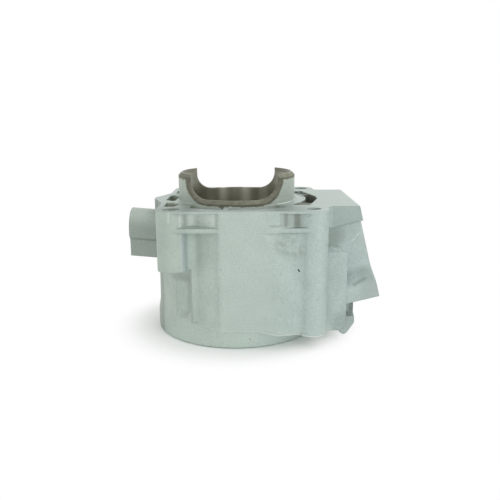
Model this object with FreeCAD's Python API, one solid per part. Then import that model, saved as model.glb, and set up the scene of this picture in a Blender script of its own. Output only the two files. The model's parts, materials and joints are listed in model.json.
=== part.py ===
import FreeCAD, Part
import math
import os

# Engine cylinder of a liquid-cooled two-stroke single, one aluminium casting with a plated bore.
# It stands on its head face: the origin is the bore axis on that face, +Z points to the crankcase
# end, +X to the intake and -X to the exhaust. All sizes are millimetres and degrees.

V = FreeCAD.Vector
UP = V(0, 0, 1)

# Bore, spigot and the three machined levels
bore_r = 36.0
liner_wall = 3.85
deck_z = 89.3
spigot_h = 18.5
land_r = 46.6
land_drop = 0.35
root_groove_w = 1.3
root_groove_d = 0.6
lead_in = 2.6
lead_in_wide = 1.1

# Cut-outs through the spigot for the rod and the transfer streams
gate_exhaust_x = -29.4
gate_intake_x = 27.3
gate_floor = 2.9
gate_round_exhaust = 11.0
gate_round_intake = 12.6
gate_bevel = 2.2

# Head flange and water drum
ring_r = 56.2
ring_h = 12.0
ring_blend_h = 8.0
drum_r = 55.0
drum_draft = 0.7
head_bolt_r = 3.4
head_bolt_depth = 18.0
head_bolt_pcd = 101.0
head_bolt_count = 6
head_bolt_start = 30.0

# Base studs
stud_span_x = 87.5
stud_span_y = 101.0
stud_shift_x = 4.45
stud_hole_r = 4.75
dowel_r = 5.8
dowel_depth = 8.0
boss_r = 9.5
exhaust_seat_z = 51.0
intake_seat_z = 8.6
socket_r = 11.3
socket_floor_z = 18.5
socket_round = 5.0

# Base flange: a thin lip at the deck and a rib under it, with the columns' valleys between them
flange_t = 13.9
lip_t = 1.8
rib_t = 3.6
rib_round = 1.5
shoulder_r = 4.0
foot_bevel = 1.4

# Transfer housings on the front and back
facet_x = -9.3
facet_run = (19.6869, 11.8523)
wall_end_x = 26.0
valley_x = 41.5
valley_y = 56.4
valley_left_r = 5.0
valley_right_r = 6.0
skirt_left = (-50.0, 14.0)
skirt_z = 12.0
skirt_x = (-4.0, 14.0)
skirt_low_z = 9.0
skirt_bevel = 1.8
scoop_x = 17.0
scoop_low_z = 56.0

# Transfer passages in the deck and their windows in the bore
passage_r = 54.2
passage_left_x = -29.5
passage_near_y = 24.5
passage_root = (27.0, 29.5)
passage_tip = (33.0, 42.5)
passage_shelf = 3.5
passage_web_x = -6.0
passage_web_w = 2.4
passage_neck_z = 74.0
passage_neck_r = 51.0
passage_floor_z = 48.0
window_top_z = 70.5
window_low_z = 56.5
window_x = ((-25.0, -8.7), (-3.3, 23.5))
boost_half = 9.0

# Kidney passage behind the spigot on the intake side
kidney_end = (37.0, 34.5)
kidney_corner_x = 47.8
kidney_inner_gap = 0.9
kidney_w = 7.9
kidney_belly = 6.0
kidney_floor_z = 71.0
kidney_round = 1.5
kidney_rib_y = 22.0
kidney_rib_w = 2.6
kidney_rib_drop = 1.0
kidney_pocket_depth = 9.0

# Openings between spigot and exhaust boss
coolant_x = (-47.6, -41.2)
coolant_half = 13.0
coolant_depth = 8.0
pocket_x = (-45.6, -36.0)
pocket_y = (22.3, 40.5)
pocket_depth = 24.0

# Exhaust stub: round duct with a squared valve housing on its head side
stub_end_x = -73.1
stub_rise = 5.0
stub_half = 15.4
stub_top_z = 82.3
stub_low_z = 62.6
block_half = 12.4
block_low_z = 50.9
stub_wall = 3.0
duct_turn_x = -52.0
duct_drop = 1.8
stub_root_x = -46.0
boss_nose_x = -56.7
boss_nose_half = 3.5
boss_root_x = -50.0
boss_root_half = 19.0
exhaust_half = 21.0
exhaust_top_z = 71.0
exhaust_low_z = 42.0
port_round = 4.5

# Intake face, leaning towards the crankcase end
face_tilt = 14.0
face_foot_x = 93.1
face_foot_z = 29.9
face_depth = 16.5
box_depth = 46.0
lip_depth = 27.0
foot_depth = 24.0
lobe_gap = 9.2
waist_half = 30.5
low_lobe_t = 10.5
blend_t = 20.0
high_lobe_t = 51.6
mouth_half = 25.0
mouth_low_t = 12.5
mouth_high_t = 49.5
mouth_round = 7.0
mouth_depth = 27.0
chamber_half = 23.0
floor_drop = 6.0
reed_bolt_r = 2.5
reed_bolt_depth = 14.0
reed_bolt_half = 34.5
reed_bolt_low_t = 6.0
reed_bolt_high_t = 55.6

# Cheeks that carry the intake box down to the head end
cheek_y = 43.2
cheek_root_x = 44.0
cheek_x = 71.4
cheek_top_z = 64.0
cheek_shoulder = (13.4, 4.0)
cheek_low_z = 7.4
cheek_wall = 6.5
cheek_slope = 4.5
ear_root_x = 60.0
ear_x = (65.8, 77.2)
ear_low_z = 3.4
ear_y = 41.0
ear_back_y = 28.0
ear_web_y = 35.5
ear_ramp = 2.5
ear_shoulder = 13.0
ear_tip_shift = 0.6
ear_tip_drop = 0.7

# Water jacket, open at the head face
jacket_in_r = 42.0
jacket_out_r = 48.6
jacket_depth = 40.0
jacket_boss_r = 7.0

# Casting round on small outer edges
small_r = 1.0

spigot_r = bore_r + liner_wall
top_z = deck_z + spigot_h
flange_z = deck_z - flange_t
stud_x = (stud_shift_x - stud_span_x / 2, stud_shift_x + stud_span_x / 2)
stud_y = stud_span_y / 2
wall_y = stud_y + boss_r
lobe_half = stud_y - lobe_gap
kidney_in_r = land_r + kidney_inner_gap
beyond = 2 * face_foot_x
inside = jacket_in_r / 2


def rounded_face(corners):
    """Closed outline through (x, y, radius) corners, as a face in the XY plane."""
    n = len(corners)
    edges = []
    ends = []
    for i in range(n):
        x, y, r = corners[i]
        here = V(x, y, 0)
        before = V(corners[i - 1][0], corners[i - 1][1], 0) - here
        after = V(corners[(i + 1) % n][0], corners[(i + 1) % n][1], 0) - here
        if r <= 0:
            ends.append((here, here, None))
            continue
        half = before.getAngle(after) / 2
        reach = r / math.tan(half)
        a = here + before.normalize() * reach
        b = here + after.normalize() * reach
        to_centre = (before + after).normalize()
        middle = here + to_centre * (r / math.sin(half) - r)
        ends.append((a, b, middle))
    for i in range(n):
        a, b, middle = ends[i]
        following = ends[(i + 1) % n][0]
        if middle is not None:
            edges.append(Part.Arc(a, middle, b).toShape())
        if b.distanceToPoint(following) > 1e-6:
            edges.append(Part.LineSegment(b, following).toShape())
    return Part.Face(Part.Wire(edges))


def prism(corners, low, high):
    """Outline in the XY plane raised from one level to another."""
    face = rounded_face(corners)
    face.translate(V(0, 0, low))
    return face.extrude(V(0, 0, high - low))


def slab_xz(corners, y_from, y_to):
    """Outline drawn in the XZ plane and extended along Y."""
    solid = prism(corners, 0, y_to - y_from)
    solid.rotate(V(0, 0, 0), V(1, 0, 0), 90)
    solid.translate(V(0, y_to, 0))
    return solid


def slab_yz(corners, x_from, x_to):
    """Outline drawn in the YZ plane and extended along X."""
    solid = prism(corners, 0, x_to - x_from)
    solid.rotate(V(0, 0, 0), V(1, 1, 1), 120)
    solid.translate(V(x_from, 0, 0))
    return solid


def post(x, y, r, low, high):
    return Part.makeCylinder(r, high - low, V(x, y, low), UP)


def box(x, y, z):
    """Box between the pairs of limits in x, y and z."""
    return Part.makeBox(x[1] - x[0], y[1] - y[0], z[1] - z[0], V(x[0], y[0], z[0]))


def mirrored(solid):
    """The same form on the other side of the XZ plane."""
    return solid.mirror(V(0, 0, 0), V(0, 1, 0))


def both(solid):
    return [solid, mirrored(solid)]


def upright_edges(solid, shortest=1.0):
    found = []
    for edge in solid.Edges:
        a, b = edge.Vertexes[0].Point, edge.Vertexes[-1].Point
        if math.hypot(a.x - b.x, a.y - b.y) < 1e-4 and abs(a.z - b.z) > shortest:
            found.append(edge)
    return found


def level_edges(solid, z):
    found = []
    for edge in solid.Edges:
        box_ = edge.BoundBox
        if abs(box_.ZMin - z) < 1e-4 and abs(box_.ZMax - z) < 1e-4:
            found.append(edge)
    return found


def on_intake_face(solid):
    """Moves a solid drawn with x across, y up the face and z out of it onto the intake face."""
    solid.rotate(V(0, 0, 0), V(1, 1, 1), 120)
    solid.rotate(V(0, 0, 0), V(0, 1, 0), -face_tilt)
    solid.translate(V(face_foot_x, 0, face_foot_z))
    return solid


def along_stub(solid):
    """Tips a solid drawn level along X by the rise of the exhaust stub."""
    solid.rotate(V(stub_end_x, 0, (stub_top_z + block_low_z) / 2), V(0, 1, 0), stub_rise)
    return solid


# Drum of the water jacket with the head flange at its foot
def drum():
    upper_r = drum_r - drum_draft
    points = [V(0, 0, 0), V(ring_r - small_r, 0, 0), V(ring_r, 0, small_r), V(ring_r, 0, ring_h),
              V(drum_r, 0, ring_h + ring_blend_h), V(upper_r, 0, deck_z), V(0, 0, deck_z)]
    outline = Part.makePolygon(points + points[:1])
    return Part.Face(outline).revolve(V(0, 0, 0), UP, 360)


# Base flange: four stud corners, bowed exhaust side and the closed top of the intake box
def base_flange():
    left = stud_x[0] - boss_r
    right = stud_x[1] + boss_r
    inner = right + shoulder_r + 0.2
    plate = prism([(left, -wall_y, boss_r), (right, -wall_y, boss_r), (right, -lobe_half, shoulder_r),
                   (inner, -lobe_half, 0), (inner, lobe_half, 0), (right, lobe_half, shoulder_r),
                   (right, wall_y, boss_r), (left, wall_y, boss_r)], flange_z, deck_z)
    groove = box(stud_x, (-wall_y - 1, -stud_y), (flange_z + rib_t, deck_z - lip_t))
    for cut in both(groove):
        plate = plate.cut(cut)
    rims = [edge for edge in level_edges(plate, flange_z) + level_edges(plate, flange_z + rib_t)
            if abs(abs(edge.CenterOfMass.y) - wall_y) < 1e-4]
    return plate.makeFillet(rib_round, rims)


# Transfer housing on one side, flat in front, with a facet running back to the drum
def transfer_housing():
    touch = (facet_x - facet_run[0], facet_run[1] - wall_y)
    body = prism([(touch[0], touch[1], 0), (facet_x, -wall_y, 4.0), (wall_end_x, -wall_y, 14.0),
                  (valley_x, -valley_y, 0), (valley_x, -inside, 0), (-inside, -inside, 0)], 0, deck_z)
    view = slab_xz([(skirt_left[0], skirt_left[1], 0), (skirt_x[0], skirt_z, 0), (skirt_x[1], skirt_z, 5.0),
                    (wall_end_x, skirt_low_z, 5.0), (beyond, skirt_low_z, 0), (beyond, deck_z, 0),
                    (skirt_left[0], deck_z, 0)], -beyond, 0)
    body = body.common(view)
    limit = touch[1] - facet_run[1] / 2
    skirt = [edge for edge in body.Edges if edge.BoundBox.ZMax < skirt_left[1] and edge.BoundBox.YMax < limit]
    body = body.makeChamfer(skirt_bevel, skirt)
    scoop = [V(wall_end_x, -wall_y, scoop_low_z), V(scoop_x, -wall_y, flange_z),
             V(valley_x, -valley_y, flange_z)]
    scoop = Part.Face(Part.makePolygon(scoop + scoop[:1])).extrude(V(0, -boss_r, 0))
    left_valley = valley(stud_x[0], touch, (facet_x, -wall_y), valley_left_r, skirt_left[1] + skirt_bevel)
    left_valley = left_valley.cut(post(stud_x[0], -stud_y, socket_r, 0, exhaust_seat_z))
    right_valley = valley(stud_x[1], (wall_end_x, -wall_y), (valley_x, -valley_y), valley_right_r,
                          skirt_low_z + skirt_bevel)
    return body.cut(scoop).fuse([left_valley, right_valley])


# Concave round in the corner between a stud column and a flat of the transfer housing
def valley(column_x, flat_from, flat_to, r, low):
    start = V(flat_from[0], flat_from[1], 0)
    along = (V(flat_to[0], flat_to[1], 0) - start).normalize()
    out = V(along.y, -along.x, 0)
    column = V(column_x, -stud_y, 0)
    rise = r - (column - start).dot(out)
    side = 1 if column_x < flat_from[0] else -1
    centre = column + along * (side * math.sqrt((boss_r + r) ** 2 - rise ** 2)) + out * rise
    on_column = column + (centre - column).normalize() * boss_r
    on_flat = centre - out * r
    deepest = centre - ((centre - on_column) + (centre - on_flat)).normalize() * r
    corners = [on_flat, V(on_flat.x, -inside, 0), V(column_x, -inside, 0), column, on_column]
    edges = [Part.LineSegment(corners[i], corners[i + 1]).toShape() for i in range(4)]
    edges.append(Part.Arc(on_column, deepest, on_flat).toShape())
    face = Part.Face(Part.Wire(edges))
    face.translate(V(0, 0, low))
    return face.extrude(V(0, 0, deck_z - low))


# Stud columns: short on the exhaust side, down to the head flange on the intake side
def stud_columns():
    short = post(stud_x[0], -stud_y, boss_r, exhaust_seat_z, deck_z)
    short = short.fuse(prism([(stud_x[0] - boss_r, -stud_y, 0), (stud_x[0] + boss_r, -stud_y, 0),
                              (stud_x[0] + boss_r, -inside, 0), (stud_x[0] - boss_r, -inside, 0)],
                             exhaust_seat_z, deck_z))
    tall = post(stud_x[1], -stud_y, boss_r, intake_seat_z, deck_z)
    tall = tall.makeChamfer(foot_bevel, level_edges(tall, intake_seat_z))
    tall = tall.fuse(prism([(stud_x[1] - boss_r, -stud_y, 0), (stud_x[1] + boss_r, -stud_y, 0),
                            (stud_x[1] + boss_r, -inside, 0), (inside, -inside, 0)], intake_seat_z, deck_z))
    return both(short) + both(tall)


# Boss that carries the exhaust stub, and the stub with its valve housing
def exhaust_stub():
    nose = prism([(boss_nose_x, -boss_nose_half, 1.5), (boss_nose_x, boss_nose_half, 1.5),
                  (boss_root_x, boss_root_half, 0), (boss_root_x, -boss_root_half, 0)],
                 block_low_z - 6, deck_z)
    upper = slab_yz([(-stub_half, stub_low_z, 4.5), (stub_half, stub_low_z, 4.5),
                     (stub_half, stub_top_z, stub_half - 1.5), (-stub_half, stub_top_z, stub_half - 1.5)],
                    stub_end_x - 3, stub_root_x)
    lower = slab_yz([(-block_half, block_low_z, small_r), (block_half, block_low_z, small_r),
                     (block_half, stub_low_z + 5, 0), (-block_half, stub_low_z + 5, 0)],
                    stub_end_x - 3, stub_root_x)
    stub = along_stub(upper.fuse(lower).removeSplitter())
    return [nose, stub.cut(box((-beyond, stub_end_x), (-beyond, beyond), (0, deck_z)))]


# Intake flange with two bolt lobes, and the box behind it
def intake_box():
    top_t = (deck_z - face_foot_z) / math.cos(math.radians(face_tilt)) + 8
    outline = [(-lobe_half, 0, small_r), (lobe_half, 0, small_r), (lobe_half, low_lobe_t, 6.0),
               (waist_half, blend_t, 8.0), (waist_half, high_lobe_t, shoulder_r),
               (lobe_half, high_lobe_t, small_r), (lobe_half, top_t, 0), (-lobe_half, top_t, 0),
               (-lobe_half, high_lobe_t, small_r), (-waist_half, high_lobe_t, shoulder_r),
               (-waist_half, blend_t, 8.0), (-lobe_half, low_lobe_t, 6.0)]
    flange = on_intake_face(prism(outline, -face_depth, 0))
    foot = on_intake_face(prism([(-lobe_half, 0, small_r), (lobe_half, 0, small_r),
                                 (lobe_half, low_lobe_t, 6.0), (waist_half, blend_t, 0),
                                 (-waist_half, blend_t, 0),
                                 (-lobe_half, low_lobe_t, 6.0)], -foot_depth, -face_depth + 1))
    trunk = on_intake_face(prism([(-waist_half, 0, 0), (waist_half, 0, 0), (waist_half, top_t, 0),
                                  (-waist_half, top_t, 0)], -box_depth, -face_depth / 2))
    lip = on_intake_face(prism([(-waist_half, 0, 0), (waist_half, 0, 0),
                                (waist_half, high_lobe_t, shoulder_r),
                                (lobe_half, high_lobe_t, small_r), (lobe_half, top_t, 0),
                                (-lobe_half, top_t, 0), (-lobe_half, high_lobe_t, small_r),
                                (-waist_half, high_lobe_t, shoulder_r)], -lip_depth, -face_depth / 2))
    below_deck = box((0, beyond), (-beyond, beyond), (0, deck_z))
    return [flange.common(below_deck), foot, trunk.common(below_deck), lip.common(below_deck)]


# Cheek on each side of the intake box, reaching to the head end
def cheeks():
    thick = cheek_y - mouth_half
    floor_z = face_foot_z - floor_drop
    top = [(cheek_x, cheek_top_z - cheek_shoulder[1], 3.0), (cheek_x - cheek_shoulder[0], cheek_top_z, 3.0),
           (cheek_root_x, cheek_top_z, 0)]
    wall = slab_xz([(cheek_root_x, cheek_low_z, 0), (cheek_x, cheek_low_z, 5.0)] + top,
                   -cheek_y, -cheek_y + cheek_wall)
    side = slab_xz([(cheek_root_x, floor_z, 0), (cheek_x, floor_z, 0)] + top,
                   -cheek_y + cheek_wall, -cheek_y + thick)
    slope = slab_yz([(-cheek_y - 1, cheek_top_z - cheek_slope - 1, 0), (-cheek_y - 1, cheek_top_z + 1, 0),
                     (-cheek_y + cheek_slope + 1, cheek_top_z + 1, 0)], stud_x[1], beyond)
    return both(wall.fuse(side).cut(slope))


# Mounting ear below the intake flange, with the hollow above it
def ear():
    middle = (ear_x[0] + ear_x[1]) / 2 - ear_tip_shift
    shoulder = ear_low_z + ear_shoulder
    lug = slab_xz([(ear_root_x, shoulder, 0), (ear_root_x, cheek_low_z, 0), (ear_x[0], cheek_low_z, 1.0),
                   (middle, ear_low_z - ear_tip_drop, 2.6), (ear_x[1], cheek_low_z + 4.5, 3.0),
                   (ear_x[1], shoulder, 2.0)], -ear_y, -ear_back_y)
    web = slab_xz([(ear_root_x, cheek_low_z, 0), (ear_x[1], shoulder - 3, 0), (ear_x[1], face_foot_z + 6, 0),
                   (ear_root_x, face_foot_z + 6, 0)], -ear_web_y, -ear_back_y)
    ramp = slab_yz([(-ear_y, shoulder - 1, 0), (-ear_web_y, shoulder - 1 + ear_ramp, 0),
                    (-ear_back_y, shoulder - 1 + ear_ramp, 0), (-ear_back_y, shoulder - 3, 0),
                    (-ear_y, shoulder - 3, 0)], ear_root_x, ear_x[1])
    return [lug, web, ramp]


# Outer form of the casting below the deck
def outer_form():
    solid = drum()
    pieces = [base_flange()] + both(transfer_housing()) + stud_columns()
    pieces = pieces + exhaust_stub() + intake_box() + cheeks() + ear()
    return solid.multiFuse(pieces)


# Sockets for the nut driver under the short columns
def socket_reliefs():
    relief = post(stud_x[0], -stud_y, socket_r, socket_floor_z, exhaust_seat_z)
    relief = relief.makeFillet(socket_round, level_edges(relief, socket_floor_z))
    return both(relief)


# Spigot with its two gates, the bevel round their outer edges and the lead-in for the rings
def spigot():
    ring = post(0, 0, spigot_r, deck_z - 3, top_z)
    floor = deck_z + gate_floor
    gate = slab_xz([(gate_exhaust_x, floor, gate_round_exhaust), (gate_intake_x, floor, gate_round_intake),
                    (gate_intake_x, beyond, 0), (gate_exhaust_x, beyond, 0)], -beyond, beyond)
    ring = ring.cut(post(0, 0, bore_r, deck_z - 4, top_z + 1)).cut(gate)
    outer = [edge for edge in ring.Edges if on_outer_rim(edge)]
    ring = ring.makeChamfer(gate_bevel, outer)
    taper = Part.makeCone(bore_r, bore_r + lead_in_wide + lead_in_wide / lead_in, lead_in + 1,
                          V(0, 0, top_z - lead_in), UP)
    return ring.cut(taper)


def on_outer_rim(edge):
    """True for an edge of the spigot that lies on its outer wall above the gate floor's level."""
    for share in (0.1, 0.35, 0.6, 0.9):
        first, last = edge.ParameterRange
        point = edge.valueAt(first + (last - first) * share)
        if abs(math.hypot(point.x, point.y) - spigot_r) > 1e-3 or point.z < deck_z + gate_floor - 0.01:
            return False
    return edge.Length > 0.5 and edge.BoundBox.ZMax > deck_z + 0.5 and not is_seam(edge)


def is_seam(edge):
    return edge.BoundBox.YMax < 1e-6 and edge.BoundBox.YMin > -1e-6


# Machined land round the spigot and the relief groove at its root
def land_cut():
    land = post(0, 0, land_r, deck_z - land_drop, deck_z + 1)
    groove = post(0, 0, spigot_r + root_groove_w, deck_z - root_groove_d, deck_z + 1)
    core = post(0, 0, spigot_r, deck_z - 2, deck_z + 2)
    return [land.cut(core), groove.cut(core)]


# Transfer passages: curved pockets in the deck that turn into the bore through windows
def passages():
    run = (passage_tip[0] - passage_root[0]) / (passage_tip[1] - passage_root[1])
    near_x = passage_root[0] - run * (passage_root[1] - passage_near_y)
    far_x = passage_root[0] + run * (passage_r - passage_root[1])
    plan = prism([(passage_left_x, -passage_near_y, 0), (near_x, -passage_near_y, 0),
                  (far_x, -passage_r, 0), (passage_left_x, -passage_r, 0)], passage_neck_z, deck_z + 1)
    mouth = post(0, 0, passage_r, passage_neck_z, deck_z + 1).common(plan)
    low_plan = box((passage_left_x + passage_shelf, passage_root[0] - 1), (-passage_r, -passage_near_y),
                   (passage_floor_z, passage_neck_z))
    lower = post(0, 0, passage_neck_r, passage_floor_z, passage_neck_z).common(low_plan)
    core = post(0, 0, spigot_r, 0, deck_z + 2)
    rib = box((passage_web_x - passage_web_w / 2, passage_web_x + passage_web_w / 2), (-passage_r, 0),
              (passage_floor_z, deck_z))
    cut = mouth.fuse(lower).cut(core).cut(rib)
    return both(cut)


# Ports in the bore wall
def windows():
    cuts = []
    for x_from, x_to in window_x:
        port = slab_xz([(x_from, window_low_z, 3.0), (x_to, window_low_z, 3.0),
                        (x_to, window_top_z, 3.0), (x_from, window_top_z, 3.0)], -spigot_r - 2, -inside)
        cuts = cuts + both(port)
    boost = slab_yz([(-boost_half, window_low_z, 3.0), (boost_half, window_low_z, 3.0),
                     (boost_half, window_top_z, 3.0), (-boost_half, window_top_z, 3.0)],
                    inside, kidney_in_r + 2)
    return cuts + [boost]


# Kidney passage from the intake box to the crankcase, with a pocket behind a low rib at each end
def kidney():
    end_x, end_y = kidney_end
    belly_x = kidney_in_r + kidney_w
    plan = [(end_x, -end_y, kidney_round), (kidney_corner_x, -end_y, kidney_round),
            (belly_x, -kidney_belly, 10.0), (belly_x, kidney_belly, 10.0),
            (kidney_corner_x, end_y, kidney_round), (end_x, end_y, kidney_round)]
    land = post(0, 0, kidney_in_r, 0, deck_z + 2)
    deep = prism(plan, kidney_floor_z, deck_z + 1).cut(land)
    pocket = prism(plan, deck_z - kidney_pocket_depth, deck_z + 1).cut(land)
    middle = kidney_rib_y - kidney_rib_w / 2
    deep = deep.common(box((0, beyond), (-middle, middle), (0, deck_z + 1)))
    ends = pocket.cut(box((0, beyond), (-middle - kidney_rib_w, middle + kidney_rib_w), (0, deck_z + 2)))
    ribs = pocket.common(box((0, beyond), (-beyond, beyond), (deck_z - kidney_rib_drop, deck_z + 1)))
    return [deep, ends, ribs]


# Cored pockets in the deck on the exhaust side
def exhaust_side_pockets():
    centre = prism([(coolant_x[0], -coolant_half, 1.5), (coolant_x[1], -coolant_half, 1.5),
                    (coolant_x[1], coolant_half, 1.5), (coolant_x[0], coolant_half, 3.0)],
                   deck_z - coolant_depth, deck_z + 1)
    corner = prism([(pocket_x[0], -pocket_y[1], 1.5), (pocket_x[0] + 7.0, -pocket_y[1], 3.0),
                    (pocket_x[1], -pocket_y[0] - 7.5, 3.0), (pocket_x[1] - 2.0, -pocket_y[0], 1.5),
                    (pocket_x[0], -pocket_y[0], 1.5)], deck_z - pocket_depth, deck_z + 1)
    return [centre] + both(corner)


# Holes for the base studs, two of them opened out for dowels at the deck
def stud_holes():
    cuts = []
    for x in stud_x:
        for y in (-stud_y, stud_y):
            cuts.append(post(x, y, stud_hole_r, -1, deck_z + 1))
    cuts.append(post(stud_x[0], -stud_y, dowel_r, deck_z - dowel_depth, deck_z + 1))
    cuts.append(post(stud_x[1], stud_y, dowel_r, deck_z - dowel_depth, deck_z + 1))
    return cuts


# Exhaust duct, from the window in the bore to the end of the stub
def exhaust_duct():
    inner = -bore_r + 4
    duct = slab_yz([(-stub_half + stub_wall, stub_low_z, 3.0), (stub_half - stub_wall, stub_low_z, 3.0),
                    (stub_half - stub_wall, stub_top_z - stub_wall, stub_half - stub_wall - 1.5),
                    (-stub_half + stub_wall, stub_top_z - stub_wall, stub_half - stub_wall - 1.5)],
                   stub_end_x - 2, duct_turn_x)
    slot = slab_yz([(-block_half + stub_wall, block_low_z + stub_wall, small_r),
                    (block_half - stub_wall, block_low_z + stub_wall, small_r),
                    (block_half - stub_wall, stub_low_z + 5, 0),
                    (-block_half + stub_wall, stub_low_z + 5, 0)],
                   stub_end_x - 2, duct_turn_x)
    outer = along_stub(duct.fuse(slot))
    far_x = duct_turn_x - 1
    far_low = block_low_z + stub_wall - duct_drop
    far_top = stub_top_z - stub_wall - duct_drop
    far_half = stub_half - stub_wall
    side = slab_xz([(far_x, far_low, 0), (inner, exhaust_low_z, 0), (inner, exhaust_top_z, 0),
                    (far_x, far_top, 0)], -exhaust_half, exhaust_half)
    plan = prism([(far_x, -far_half, 0), (inner, -exhaust_half, 0), (inner, exhaust_half, 0),
                  (far_x, far_half, 0)], 0, deck_z)
    throat = side.common(plan)
    long_edges = [edge for edge in throat.Edges if edge.BoundBox.XLength > far_half / 2]
    throat = throat.makeFillet(port_round, long_edges)
    return [outer, throat]


# Reed cage recess in the intake face, and the chamber that feeds kidney and boost port
def intake_duct():
    mouth = on_intake_face(prism([(-mouth_half, mouth_low_t, mouth_round),
                                  (mouth_half, mouth_low_t, mouth_round),
                                  (mouth_half, mouth_high_t, mouth_round),
                                  (-mouth_half, mouth_high_t, mouth_round)],
                                 -mouth_depth, 2))
    chamber = box((kidney_in_r, face_foot_x - mouth_depth), (-chamber_half, chamber_half),
                  (window_low_z, kidney_floor_z + 1))
    return [mouth, chamber]


def reed_bolt_holes():
    cuts = []
    for side in (-reed_bolt_half, reed_bolt_half):
        for t in (reed_bolt_low_t, reed_bolt_high_t):
            hole = Part.makeCylinder(reed_bolt_r, reed_bolt_depth + 1, V(side, t, -reed_bolt_depth), UP)
            cuts.append(on_intake_face(hole))
    return cuts


# Water jacket round the bore, open at the head face, with a boss left for each head bolt
def jacket():
    ring = post(0, 0, jacket_out_r, -1, jacket_depth).cut(post(0, 0, jacket_in_r, -2, jacket_depth + 1))
    for i in range(head_bolt_count):
        angle = math.radians(head_bolt_start + i * 360.0 / head_bolt_count)
        x = head_bolt_pcd / 2 * math.cos(angle)
        y = head_bolt_pcd / 2 * math.sin(angle)
        ring = ring.cut(post(x, y, jacket_boss_r, -2, jacket_depth + 1))
    return [ring]


def head_bolt_holes():
    cuts = []
    for i in range(head_bolt_count):
        angle = math.radians(head_bolt_start + i * 360.0 / head_bolt_count)
        x = head_bolt_pcd / 2 * math.cos(angle)
        y = head_bolt_pcd / 2 * math.sin(angle)
        cuts.append(post(x, y, head_bolt_r, -1, head_bolt_depth))
    return cuts


# Hollow under the intake box, between the cheeks
def intake_underside():
    return [box((ring_r, beyond), (-ear_back_y, cheek_y - cheek_wall), (-1, face_foot_z - floor_drop))]


def make_casting():
    solid = outer_form()
    cuts = socket_reliefs() + passages() + kidney() + exhaust_side_pockets() + stud_holes()
    cuts = cuts + intake_duct() + reed_bolt_holes() + jacket() + head_bolt_holes() + exhaust_duct()
    cuts = cuts + intake_underside()
    for cut in cuts:
        solid = solid.cut(cut)
    solid = solid.fuse(spigot())
    for cut in land_cut() + windows():
        solid = solid.cut(cut)
    solid = solid.cut(post(0, 0, bore_r, -1, top_z + 1))
    return solid.removeSplitter()


os.makedirs("parts", exist_ok=True)
casting = make_casting()
casting.exportStep("parts/cylinder_casting.step")
print("volume", round(casting.Volume), "valid", casting.isValid(), "solids", len(casting.Solids))
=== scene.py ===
import json
import math

import bpy
from mathutils import Matrix, Vector


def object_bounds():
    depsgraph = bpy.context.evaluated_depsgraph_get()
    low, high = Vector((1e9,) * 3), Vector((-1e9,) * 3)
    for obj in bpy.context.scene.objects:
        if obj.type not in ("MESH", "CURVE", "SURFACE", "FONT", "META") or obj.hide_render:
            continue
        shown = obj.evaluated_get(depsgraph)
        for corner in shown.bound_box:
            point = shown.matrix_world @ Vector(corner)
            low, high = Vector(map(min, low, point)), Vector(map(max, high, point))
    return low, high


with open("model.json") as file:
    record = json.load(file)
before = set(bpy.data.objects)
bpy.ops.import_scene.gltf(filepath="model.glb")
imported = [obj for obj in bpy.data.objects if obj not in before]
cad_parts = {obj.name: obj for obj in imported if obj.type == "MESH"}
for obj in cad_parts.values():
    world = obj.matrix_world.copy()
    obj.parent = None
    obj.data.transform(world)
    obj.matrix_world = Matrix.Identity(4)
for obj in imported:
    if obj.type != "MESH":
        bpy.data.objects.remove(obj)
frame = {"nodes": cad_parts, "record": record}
cad_box = [list(corner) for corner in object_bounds()]

# The cylinder is one gravity casting in an aluminium-silicon alloy. Its outside was cleaned with
# glass beads, its joint faces were milled, and its bore was plated with nickel and silicon carbide
# and honed. The plating bath has stained the edge of the spigot, where its mask ended.
casting = frame["nodes"]["cylinder_casting"]

# Its sizes in millimetres; the frame states the bore, the head bolts and the joint faces. The
# intake face leans out from its foot.
mounts = {mount["name"]: mount for mount in frame["record"]["mounts"]}
bore_r = mounts["cylinder_bore"]["dims"]["r_mm"]
bolt_circle_r = mounts["head_bolts"]["dims"]["pcd_mm"] / 2
bolt_count = mounts["head_bolts"]["dims"]["count"]
bolt_hole_r = mounts["head_bolts"]["dims"]["hole_r_mm"]
bolt_depth = 18.0
reed_hole_r = 2.5
reed_hole_depth = 14.0
reed_hole_y = 34.5
reed_hole_up = (6.0, 55.6)
deck_z = mounts["base_face"]["pos_m"][2] * 1000
top_z = cad_box[1][2] * 1000
stub_end_x = mounts["exhaust_face"]["pos_m"][0] * 1000
face_tilt = math.asin(mounts["intake_face"]["axis"][2])
face_foot_x = cad_box[1][0] * 1000
face_foot_z = 29.9
spigot_r = 39.85
lead_in_r = 37.2
gate_x = (-29.4, 27.3)
gate_floor_z = 92.2
gate_round = 11.8
kidney_r = (47.0, 57.0)


def linear(hex_colour):
    """sRGB hex text to the linear colour that a shader socket takes."""
    parts = [int(hex_colour[i:i + 2], 16) / 255 for i in (0, 2, 4)]
    return tuple(c / 12.92 if c < 0.04045 else ((c + 0.055) / 1.055) ** 2.4 for c in parts) + (1.0,)


def add(kind, *inputs, **settings):
    """Adds a node to the tree in hand. Inputs fill its sockets in their order, or one dict fills
    those that it names. An input is a number, a vector, a hex colour, a socket, or a node for its
    first output. Settings are the node's own properties."""
    node = tree.nodes.new("ShaderNode" + kind)
    for name, value in settings.items():
        setattr(node, name, value)
    if inputs and isinstance(inputs[0], dict):
        pairs = [(node.inputs[name], value) for name, value in inputs[0].items()]
    else:
        pairs = zip([socket for socket in node.inputs if socket.enabled], inputs)
    for socket, value in pairs:
        if isinstance(value, bpy.types.Node):
            value = next(output for output in value.outputs if output.enabled)
        if isinstance(value, bpy.types.NodeSocket):
            tree.links.new(value, socket)
        else:
            socket.default_value = linear(value) if isinstance(value, str) else value
    return node


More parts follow.
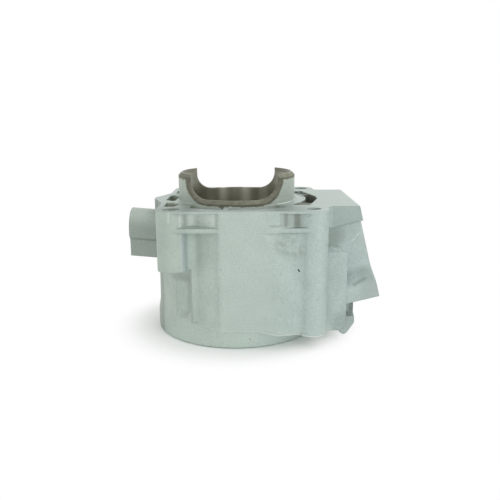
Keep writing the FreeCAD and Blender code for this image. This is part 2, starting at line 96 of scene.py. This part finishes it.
def new_material(name):
    material = bpy.data.materials.new(name)
    material.use_nodes = True
    material.node_tree.nodes.clear()
    return material, material.node_tree


# Bead-blasted cast aluminium: a pale grey-green skin with an even fine grain and no gloss.
# Milled faces are smoother, the stained edge of the spigot is brown-grey and dull, and the honed
# plating is a warm grey that mirrors softly. All four are metal with an oxide film.
metal, tree = new_material("bead_blasted_casting_with_plated_bore")
metres = add("TexCoord").outputs["Object"]
place = add("VectorMath", metres, 1000.0, operation="SCALE")
x, y, z = add("SeparateXYZ", place).outputs
radius = add("VectorMath", add("CombineXYZ", x, y), operation="LENGTH")
angle = add("Math", y, x, operation="ARCTAN2")
normal = add("NewGeometry").outputs["True Normal"]
facing_y, facing_z = add("SeparateXYZ", normal).outputs[1:]

# The blast grain is about 0.1 mm in the metal; it is drawn at 1 mm so that it shows at all.
# Blotches of 3 mm and clouds of 14 mm are where the beads struck unevenly.
grain_size = 1.0
blotch_size = 3.0
cloud_size = 14.0
grain = add("TexNoise", {"Vector": place, "Scale": 1 / grain_size, "Detail": 2.0, "Roughness": 0.6})
blotch = add("TexNoise", {"Vector": place, "Scale": 1 / blotch_size, "Detail": 3.0, "Roughness": 0.55})
cloud = add("TexNoise", {"Vector": place, "Scale": 1 / cloud_size, "Detail": 3.0, "Roughness": 0.55})


def band(value, low, high):
    """A mask: 0 below low, 1 above high and smooth between them, or falling where low is larger."""
    return add("MapRange", value, low, high, interpolation_type="SMOOTHSTEP")


def all_of(first, *others):
    """Where all the masks are; a plain number among them is the share that they have."""
    for mask in others:
        first = add("Math", first, mask, operation="MULTIPLY")
    return first


def any_of(first, *others):
    """Where any of the masks is, as strong as the strongest."""
    for mask in others:
        first = add("Math", first, mask, operation="MAXIMUM")
    return first


def inverse(mask):
    return add("Math", 1.0, mask, operation="SUBTRACT")


def within(value, low, high, soft=1.0):
    """1 between low and high, fading over a soft edge outside them."""
    return all_of(band(value, low - soft, low), band(value, high + soft, high))


def block(*spans):
    """1 in a block along the axes; a span is its low end, its high end and its soft edge."""
    return all_of(*(within(along, *span) for along, span in zip((x, y, z), spans)))


def ball(point, inner, outer):
    """1 within the inner distance of a point, 0 beyond the outer one."""
    return band(add("VectorMath", place, point, operation="DISTANCE"), outer, inner)


def streak(start, end, inner, outer):
    """The same along the straight line between two points."""
    whole = Vector(end) - Vector(start)
    from_start = add("VectorMath", place, start, operation="SUBTRACT")
    along = add("VectorMath", from_start, whole / whole.length_squared, operation="DOT_PRODUCT")
    along = add("Math", add("Math", along, 0.0, operation="MAXIMUM"), 1.0, operation="MINIMUM")
    foot = add("VectorMath", whole, along, operation="SCALE")
    return band(add("VectorMath", from_start, foot, operation="DISTANCE"), outer, inner)


# The machined faces: the deck, the spigot's top and wall, the head face, and the ends of the
# intake flange and the exhaust stub
faces_up = band(facing_z, 0.90, 0.97)
deck = all_of(faces_up, band(z, deck_z - 0.8, deck_z - 0.7), band(z, deck_z + 0.4, deck_z + 0.2))
rim_top = all_of(faces_up, band(z, top_z - 0.3, top_z - 0.2))
on_spigot = band(radius, spigot_r + 0.25, spigot_r + 0.15)
spigot_wall = all_of(on_spigot, band(z, deck_z - 0.1, deck_z))
head_face = band(z, 0.06, 0.02)
from_foot = add("VectorMath", place, (face_foot_x, 0.0, face_foot_z), operation="SUBTRACT")
outwards = (math.cos(face_tilt), 0.0, math.sin(face_tilt))
upwards = (-math.sin(face_tilt), 0.0, math.cos(face_tilt))
out_of_face = add("VectorMath", from_foot, outwards, operation="DOT_PRODUCT")
up_the_face = add("VectorMath", from_foot, upwards, operation="DOT_PRODUCT")
intake_face = band(out_of_face, -0.06, -0.02)
stub_face = band(x, stub_end_x + 0.06, stub_end_x + 0.02)
machined = any_of(deck, rim_top, head_face, intake_face, stub_face)

# How far a point of the spigot is from the edge of its round-cornered gates, or from its top
side_x = add("Math", x, (gate_x[0] + gate_x[1]) / 2, operation="SUBTRACT")
side_x = add("Math", side_x, operation="ABSOLUTE")
over_x = add("Math", side_x, (gate_x[1] - gate_x[0]) / 2 - gate_round, operation="SUBTRACT")
over_z = add("Math", gate_floor_z + gate_round, z, operation="SUBTRACT")
corner = add("CombineXYZ", any_of(over_x, 0.0), any_of(over_z, 0.0))
corner = add("VectorMath", corner, operation="LENGTH")
inside = add("Math", any_of(over_x, over_z), 0.0, operation="MINIMUM")
from_gate = add("Math", add("Math", corner, inside, operation="ADD"), gate_round, operation="SUBTRACT")
from_top = add("Math", top_z, z, operation="SUBTRACT")
from_edge = add("Math", from_gate, from_top, operation="MINIMUM")

# The stain ends in a ragged line one or two millimetres below the bevel, and lower at one place.
# It is even on the cut faces beside the bore, and a faint darker line follows the bevel's foot.
tear_size = 5.0
run_x = -8.0
torn = add("TexNoise", {"Vector": place, "Scale": 1 / tear_size, "Detail": 5.0, "Roughness": 0.65})
torn = add("Math", torn, 0.5, operation="SUBTRACT")
run = add("Math", add("Math", x, run_x, operation="SUBTRACT"), operation="ABSOLUTE")
run = band(run, 4.0, 0.5)
ragged = add("Math", torn, 3.0, from_edge, operation="MULTIPLY_ADD")
ragged = add("Math", run, -1.3, ragged, operation="MULTIPLY_ADD")
stain = all_of(band(ragged, 4.0, 3.2), on_spigot, inverse(rim_top))
cut_face = all_of(stain, band(radius, bore_r + 1.0, bore_r + 0.6))
low_edge = all_of(stain, band(from_edge, 1.5, 1.9), band(from_edge, 2.6, 2.3))

# The plating covers the bore and its lead-in. Its grey varies in soft upright streaks, and
# three bright upright bands on it are a painted reflection
lead_in = all_of(band(z, top_z - 2.7, top_z - 2.5), band(radius, lead_in_r + 0.2, lead_in_r))
plated = any_of(band(radius, bore_r + 0.2, bore_r + 0.06), all_of(lead_in, inverse(rim_top)))
upright = add("VectorMath", place, (1.0, 1.0, 0.12), operation="MULTIPLY")
upright_streak_width = 4.0
upright_streaks = add("TexNoise", {"Vector": upright, "Scale": 1 / upright_streak_width, "Detail": 2.0})
painted_reflection_bands = any_of(streak((-11.2, 34.2, 30.0), (-11.2, 34.2, 110.0), 0.5, 5.0),
                    streak((6.1, 35.5, 30.0), (6.1, 35.5, 110.0), 0.8, 6.0),
                    all_of(streak((19.5, 30.3, 30.0), (19.5, 30.3, 110.0), 1.0, 6.0), 0.5))
painted_reflection_bands = all_of(painted_reflection_bands, band(upright_streaks, 0.0, 0.5))

# Painted shade: darker in corners and pockets by how much of the sky they see within 9 mm,
# and in listed places under the lips, in hollows and grooves and inside the kidney ports
open_sky = add("AmbientOcclusion", {"Distance": 0.009}, samples=8).outputs["AO"]
uneven = add("Math", blotch, 0.5, operation="SUBTRACT")
painted_corner_shade = band(add("Math", uneven, 0.25, open_sky, operation="MULTIPLY_ADD"), 0.62, 0.25)
painted_deep_shade = band(open_sky, 0.35, 0.10)
# Painted shade in the right pocket of the flange, under the intake lip and along the top of the rib
painted_pocket_shade = any_of(all_of(streak((37.6, -57.2, 81.0), (37.6, -57.2, 86.5), 0.8, 4.0),
                          band(blotch, 0.0, 0.5)),
                   all_of(streak((30.6, -58.3, 81.0), (30.6, -58.3, 86.5), 0.4, 3.2), 0.85),
                   all_of(ball((65.0, -33.0, 68.5), 2.0, 10.0), 0.45),
                   all_of(streak((21.5, -60.0, 80.1), (28.0, -59.5, 80.1), 0.1, 1.1), 0.5),
                   all_of(block((23.0, 40.0, 2.5), (-59.6, -52.0, 0.3), (80.5, 87.5, 1.2)), 0.35))
# Mottled painted shade in the hollow under the rib, on the right of the front wall
painted_hollow_shade = all_of(any_of(ball((31.0, -58.3, 69.0), 2.0, 11.0), ball((38.5, -57.0, 64.0), 1.0, 8.0)),
                band(blotch, 0.25, 0.65))
# Painted shade under the front left column, down the right edge of the hollow below it and at its foot
painted_scoop_shade = any_of(streak((-40.0, -35.5, 43.3), (-31.0, -43.0, 43.3), 0.3, 5.0),
               all_of(streak((-30.3, -43.8, 43.0), (-30.5, -43.7, 20.0), 0.2, 3.5), 0.5),
               all_of(streak((-36.5, -41.5, 17.5), (-31.3, -45.0, 18.3), 0.3, 2.2), 0.7))
# Painted shade inside the kidney ports below the deck
kidney = all_of(band(radius, kidney_r[0] - 0.1, kidney_r[0] + 0.1),
                band(radius, kidney_r[1], kidney_r[1] - 0.5), band(x, 35.5, 36.5),
                band(add("Math", y, operation="ABSOLUTE"), 36.0, 35.0),
                band(z, deck_z - 0.3, deck_z - 0.8))
# The pockets in the deck on the exhaust side, painted a warm grey
pocket = all_of(block((-46.8, -37.0, 0.5), (-39.0, 39.0, 1.0), (70.0, deck_z - 1.2, 0.5)),
                band(radius, 40.5, 41.0))

# Marks of handling and casting, each in its real place: a pit, specks, a nick and two scratches;
# and a soft painted shade along the crease under the intake flange
pit = streak((38.8, -57.2, 52.4), (39.4, -57.0, 51.3), 0.2, 0.6)
specks = any_of(ball((-48.9, -25.0, 25.7), 0.2, 0.6), ball((-40.8, -38.3, 13.2), 0.2, 0.6),
                ball((-8.7, -60.0, 53.2), 0.2, 0.55), ball((8.8, -55.5, 6.5), 0.25, 0.7),
                all_of(streak((43.9, -59.0, 85.6), (45.6, -59.6, 86.9), 0.1, 0.7), 0.5))
nick = streak((-39.9, -60.0, 82.5), (-39.6, -60.0, 88.5), 0.2, 0.6)
scratches = any_of(streak((76.5, -30.5, 64.5), (80.3, -30.5, 69.9), 0.1, 0.45),
                   streak((75.6, -30.5, 65.0), (77.0, -30.5, 66.0), 0.1, 0.4))
crease = streak((76.6, -39.9, 37.4), (83.2, -38.4, 41.2), 0.1, 2.2)

# Places where the skin is lighter or darker than it is on the open walls
# Painted side light runs from the exhaust side to the intake side
painted_side_light = band(x, -55.0, 75.0)
# Painted light on the front wall
pale = any_of(all_of(band(x, -10.4, -9.2), band(x, 36.0, 6.0)),
              all_of(within(x, -25.0, -15.0, 5.0), 0.8))
pale = all_of(pale, band(y, -50.0, -58.0))
# Painted light low on the front
foot = all_of(band(z, 18.0, 2.0), band(y, -20.0, -45.0))
# The exhaust stub: painted shade on it, and painted light on its top
stub = band(x, -48.5, -50.5)
# Painted light inside the passages below the deck, under the skirt, in the left groove of the flange and,
# bluish, in the valley beside the front left column
passage_wall = all_of(within(radius, 39.0, 46.0, 0.5), band(z, deck_z, deck_z - 0.3))
under_skirt = all_of(band(facing_z, -0.1, -0.4), within(z, 3.0, 16.0))
groove = block((-33.5, -9.0, 1.0), (-57.8, -50.0, 1.0), (79.5, 89.0, 2.0))
valley = block((-32.8, -29.5, 1.8), (-58.0, -48.0, 1.0), (44.0, 77.0, 1.0))
ear = ball((71.0, -41.0, 11.0), 6.0, 13.0)
# Painted shade in the recess above the lug
ear_hollow = all_of(streak((76.6, -35.6, 22.5), (77.2, -35.6, 12.0), 1.2, 4.0), band(facing_y, -0.7, -0.9))
# Painted light on ledges that face up, by the lug and on top of the cheek
ledges = all_of(any_of(ear, ball((66.0, -33.0, 61.5), 6.0, 10.0)), band(facing_z, 0.3, 0.8))
lip = all_of(band(x, 57.0, 62.0), band(z, 75.0, 77.0), band(y, -40.0, -41.0))
lobe = all_of(band(x, 78.0, 84.0), band(z, 50.0, 44.0))

# Some of them get no painted shade: the places painted light, the bottom 8 mm, and in part the
# valley and the deck pockets. The grain shows less on the exhaust side and on the lip
free_of_painted_shade = any_of(groove, all_of(valley, 0.8), band(z, 8.0, 3.0), passage_wall, under_skirt,
                    all_of(pocket, 0.6), ledges)
takes_painted_shade = inverse(free_of_painted_shade)
grit = add("Mix", any_of(band(x, -20.0, -45.0), lip), 0.75, 0.5)


def painted(under, over, *masks):
    """One colour with another over it where all the masks are."""
    return add("Mix", all_of(*masks), under, over, data_type="RGBA")


# Painted side light: the skin is a little darker and warmer on the exhaust side, and lighter
# and bluer on the intake side, where the light comes from
skin = painted(painted("AFBBB1", "B4C1BE", painted_side_light), painted("B7C3B9", "BCC9C6", painted_side_light), band(cloud, 0.3, 0.7))
skin = painted(skin, "A8B4B0", band(blotch, 0.4, 0.8), 0.35)
# Painted light on the front wall
skin = painted(skin, "C1CDC6", pale, 0.5)
# Painted light low on the front
skin = painted(skin, "CBD7D0", foot, 0.6)
# Painted shade on the exhaust stub, and painted light on its top
skin = painted(skin, "99A39B", stub, 0.9)
skin = painted(skin, "B4BEB6", stub, band(facing_z, 0.1, 0.8), 0.8)
skin = painted(skin, "B7BDB3", spigot_wall, 0.7)
# Painted light inside the passages, under the skirt and in the left groove of the flange
skin = painted(skin, "D2D8CE", passage_wall, 0.8)
skin = painted(skin, "E6EEE8", under_skirt, 0.8)
skin = painted(skin, "DCE3DE", groove, 0.8)
# Painted shade in the recess above the lug
skin = painted(skin, "6F7772", ear_hollow, 0.9)
# Painted light on the ledges that face up
skin = painted(skin, "E8EEEA", ledges, 0.9)
# Bluish painted light in the valley beside the front left column
skin = painted(skin, "CED7DA", valley, 0.6)
skin = painted(skin, "93A09C", any_of(all_of(ear, 1.3), lip), 0.45)
skin = painted(skin, "CFD9D4", band(grain, 0.45, 0.85), grit)
skin = painted(skin, "97A49E", band(grain, 0.50, 0.15), grit)
# Painted shade in the hollow under the rib and under the front left column
skin = painted(skin, "8F9A93", painted_hollow_shade, 0.5)
skin = painted(skin, "8F9A93", painted_scoop_shade, 0.45)
skin = painted(skin, "A0ABA6", lobe, 0.4)
# Painted shade in corners, darker still in crevices, and in the listed pockets under the lips
skin = painted(skin, "8E9894", painted_corner_shade, takes_painted_shade, 0.45)
skin = painted(skin, "7D857C", painted_pocket_shade, 0.8)
skin = painted(skin, "6F7064", painted_deep_shade, takes_painted_shade, inverse(spigot_wall), 0.6)
# Painted shade, brown-grey, inside the kidney ports
skin = painted(skin, "838274", kidney, 0.8)
skin = painted(skin, "B3B2A4", pocket, 0.8)
milled = painted("ACB7B1", "B4BFB9", band(cloud, 0.3, 0.7))
# Painted shade on the front of the milled deck
milled = painted(milled, "949F99", band(y, -15.0, -50.0), band(x, 52.0, 40.0))
stained = painted("7A7B6D", "8B8C7D", band(blotch, 0.3, 0.7))
stained = painted(stained, "5E5D52", low_edge, 0.15)
stained = painted(stained, "808274", cut_face)
honed = painted("AFAEA0", "BBBAAC", band(upright_streaks, 0.3, 0.7))
# Painted reflection: bright upright bands in the bore
honed = painted(honed, "F0F0E4", painted_reflection_bands)
honed = painted(honed, "75756A", band(z, 93.0, 103.0), 0.7)
honed = painted(honed, "67665A", lead_in, 0.8)
colour = painted(skin, milled, machined)
colour = painted(colour, "D6E0DB", nick, 0.5)
colour = painted(colour, "DCE6E2", scratches, 0.55)
# Painted shade along the crease under the intake flange
colour = painted(colour, "7C8275", crease, 0.40)
colour = painted(colour, "737A72", specks, 0.7)
colour = painted(colour, "3C3D36", pit, 0.9)
colour = painted(colour, stained, stain)
colour = painted(colour, honed, plated)

roughness = add("Mix", band(grain, 0.3, 0.7), 0.58, 0.68)
roughness = add("Mix", machined, roughness, add("Mix", band(cloud, 0.3, 0.7), 0.42, 0.50))
roughness = add("Mix", stain, roughness, 0.75)
roughness = add("Mix", plated, roughness, 0.32)

# Cross-hatch of the hone, rising and falling at 30 degrees. The real lines are finer; these are
# drawn 0.6 mm apart. A rate is how far a wave turns in a millimetre, in radians.
hatch_rate = 5.2
hatch_slope = 1.73
round_bore = add("Math", angle, bore_r * hatch_rate, operation="MULTIPLY")
rising = add("Math", z, hatch_slope * hatch_rate, round_bore, operation="MULTIPLY_ADD")
falling = add("Math", z, -hatch_slope * hatch_rate, round_bore, operation="MULTIPLY_ADD")
hatch = add("Math", add("Math", rising, operation="SINE"), add("Math", falling, operation="SINE"),
            operation="ADD")

# Arcs of the face mill round the middle of its sweep, drawn 0.8 mm apart
mill_rate = 7.85
sweep = add("VectorMath", place, (-40.0, 160.0, 60.0), operation="DISTANCE")
milling = add("Math", add("Math", sweep, mill_rate, operation="MULTIPLY"), operation="SINE")

# Threads: M8 in the six head bolt holes and M6 in the four reed cage holes, drawn as rings that
# rise and fall once in each pitch. How far a point is from the nearest hole's axis comes from the
# chord between them for the bolts, and from the rows and columns of holes for the reed cage.
m8_pitch = 1.25
m6_pitch = 1.0
half_step = math.pi / bolt_count
off_bolt = add("Math", angle, half_step, operation="PINGPONG")
off_bolt = add("Math", half_step, off_bolt, operation="SUBTRACT")
half_chord = add("Math", add("Math", off_bolt, 0.5, operation="MULTIPLY"), operation="SINE")
chord = add("Math", half_chord, 2.0, operation="MULTIPLY")
across = add("Math", radius, bolt_circle_r, operation="MULTIPLY")
across = add("Math", across, add("Math", chord, 2.0, operation="POWER"), operation="MULTIPLY")
beside = add("Math", radius, bolt_circle_r, operation="SUBTRACT")
beside = add("Math", beside, 2.0, operation="POWER")
from_bolt = add("Math", add("Math", beside, across, operation="ADD"), operation="SQRT")
in_bolt = all_of(band(from_bolt, bolt_hole_r + 0.2, bolt_hole_r + 0.05),
                 band(z, bolt_depth + 0.2, bolt_depth - 0.2))
to_rows = [add("Math", add("Math", up_the_face, up, operation="SUBTRACT"), operation="ABSOLUTE")
           for up in reed_hole_up]
to_row = add("Math", *to_rows, operation="MINIMUM")
to_side = add("Math", add("Math", y, operation="ABSOLUTE"), reed_hole_y, operation="SUBTRACT")
from_reed = add("VectorMath", add("CombineXYZ", to_side, to_row), operation="LENGTH")
in_reed = all_of(band(from_reed, reed_hole_r + 0.2, reed_hole_r + 0.05),
                 band(out_of_face, -reed_hole_depth - 0.2, -reed_hole_depth + 0.2))
bolt_rings = all_of(in_bolt, add("Math", z, m8_pitch / 2, operation="PINGPONG"))
reed_rings = all_of(in_reed, add("Math", out_of_face, m6_pitch / 2, operation="PINGPONG"))
thread = add("Math", bolt_rings, reed_rings, operation="ADD")

# Heights in millimetres: grain and marks on the skin, then what takes their place elsewhere
blasted = add("Math", grain, 0.10, add("Math", blotch, 0.08, operation="MULTIPLY"), operation="MULTIPLY_ADD")
blasted = add("Math", pit, -0.35, blasted, operation="MULTIPLY_ADD")
blasted = add("Math", any_of(nick, scratches, specks), -0.06, blasted, operation="MULTIPLY_ADD")
cut = add("Math", grain, 0.01, add("Math", milling, 0.0012, operation="MULTIPLY"), operation="MULTIPLY_ADD")
height = add("Mix", machined, blasted, cut)
height = add("Mix", any_of(stain, spigot_wall), height, add("Math", grain, 0.02, operation="MULTIPLY"))
height = add("Mix", plated, height, add("Math", hatch, 0.002, operation="MULTIPLY"))
height = add("Math", thread, 0.9, height, operation="MULTIPLY_ADD")

# As-cast edges are round by about a millimetre; machined ones are only broken
cast_edge_r = 0.0013
broken_edge_r = 0.0003
machined_edge = any_of(machined, spigot_wall, plated, band(z, 2.0, 1.5))
edge_radius = add("Mix", machined_edge, cast_edge_r, broken_edge_r)
soft = add("Bevel", {"Radius": edge_radius}, samples=6)
bump = add("Bump", {"Strength": 1.0, "Distance": 0.001, "Height": height, "Normal": soft})
surface = add("BsdfPrincipled", {"Base Color": colour, "Metallic": 1.0, "Roughness": roughness,
                                 "Normal": bump})
add("OutputMaterial", surface)
casting.data.materials.clear()
casting.data.materials.append(metal)

# The floor is white card, and the casting stands on it on its head face. The card keeps the
# shadow near the casting, and from there out it fades to a plain white that light doesn't change.
card_r = 3.0
card_gap = 0.0001
fade_start = 0.056
fade_end = 0.092
card, tree = new_material("white_card")
metres = add("TexCoord").outputs["Object"]
away = add("VectorMath", metres, operation="LENGTH")
fibres_to_a_metre = 900.0
fibre = add("TexNoise", {"Vector": metres, "Scale": fibres_to_a_metre, "Detail": 3.0})
press = add("Bump", {"Strength": 0.05, "Distance": 0.0002, "Height": fibre})
paper = add("BsdfPrincipled", {"Base Color": "F7F8F7", "Roughness": 0.9, "Normal": press})
white = add("Emission", "FFFFFF", 1.0)
add("OutputMaterial", add("MixShader", band(away, fade_start, fade_end), paper, white))

bpy.ops.mesh.primitive_circle_add(vertices=96, radius=card_r, fill_type="NGON", location=(0, 0, -card_gap))
floor = bpy.context.object
floor.name = "studio_floor"
floor.data.materials.append(card)

# Studio light: a white tent all round, a softbox on the right and one high behind
world = bpy.data.worlds.new("studio")
bpy.context.scene.world = world
world.use_nodes = True
tree = world.node_tree
tree.nodes.clear()
add("OutputWorld", add("Background", "FFFFFF", 1.0))


def softbox(name, azimuth, elevation, power):
    """Square lamp a metre from the casting; azimuth runs from the camera's side to the right."""
    lamp = bpy.data.lights.new(name, "AREA")
    lamp.shape = "SQUARE"
    lamp.size = 0.6
    lamp.energy = power
    box = bpy.data.objects.new(name, lamp)
    bpy.context.scene.collection.objects.link(box)
    turn, lift = math.radians(azimuth), math.radians(elevation)
    towards = Vector((math.cos(lift) * math.sin(turn), -math.cos(lift) * math.cos(turn), math.sin(lift)))
    casting_middle = Vector((0.0, 0.0, 0.05))
    box.location = casting_middle + towards
    box.rotation_euler = (-towards).to_track_quat("-Z", "Y").to_euler()
    box.visible_camera = False


softbox("key_softbox", azimuth=40.0, elevation=15.0, power=1.1)
softbox("back_softbox", azimuth=120.0, elevation=50.0, power=2.9)

# The camera stands where the photograph was taken from: 0.4 m in front and a little higher than
# the spigot, looking slightly down
camera_place = (0.00949, -0.40276, 0.14555)
camera_turn = math.radians(0.07)
camera_down = math.radians(13.12)
camera_roll = math.radians(-0.26)
lens = bpy.data.cameras.new("photo_camera")
lens.lens = 41.86
lens.sensor_width = 36.0
lens.clip_start = 0.01
lens.clip_end = 20.0
camera = bpy.data.objects.new("photo_camera", lens)
bpy.context.scene.collection.objects.link(camera)
camera.matrix_world = (Matrix.Translation(camera_place) @ Matrix.Rotation(camera_turn, 4, "Z")
                       @ Matrix.Rotation(math.pi / 2 - camera_down, 4, "X")
                       @ Matrix.Rotation(camera_roll, 4, "Z"))
bpy.context.scene.camera = camera
bpy.context.scene.view_settings.view_transform = "Standard"
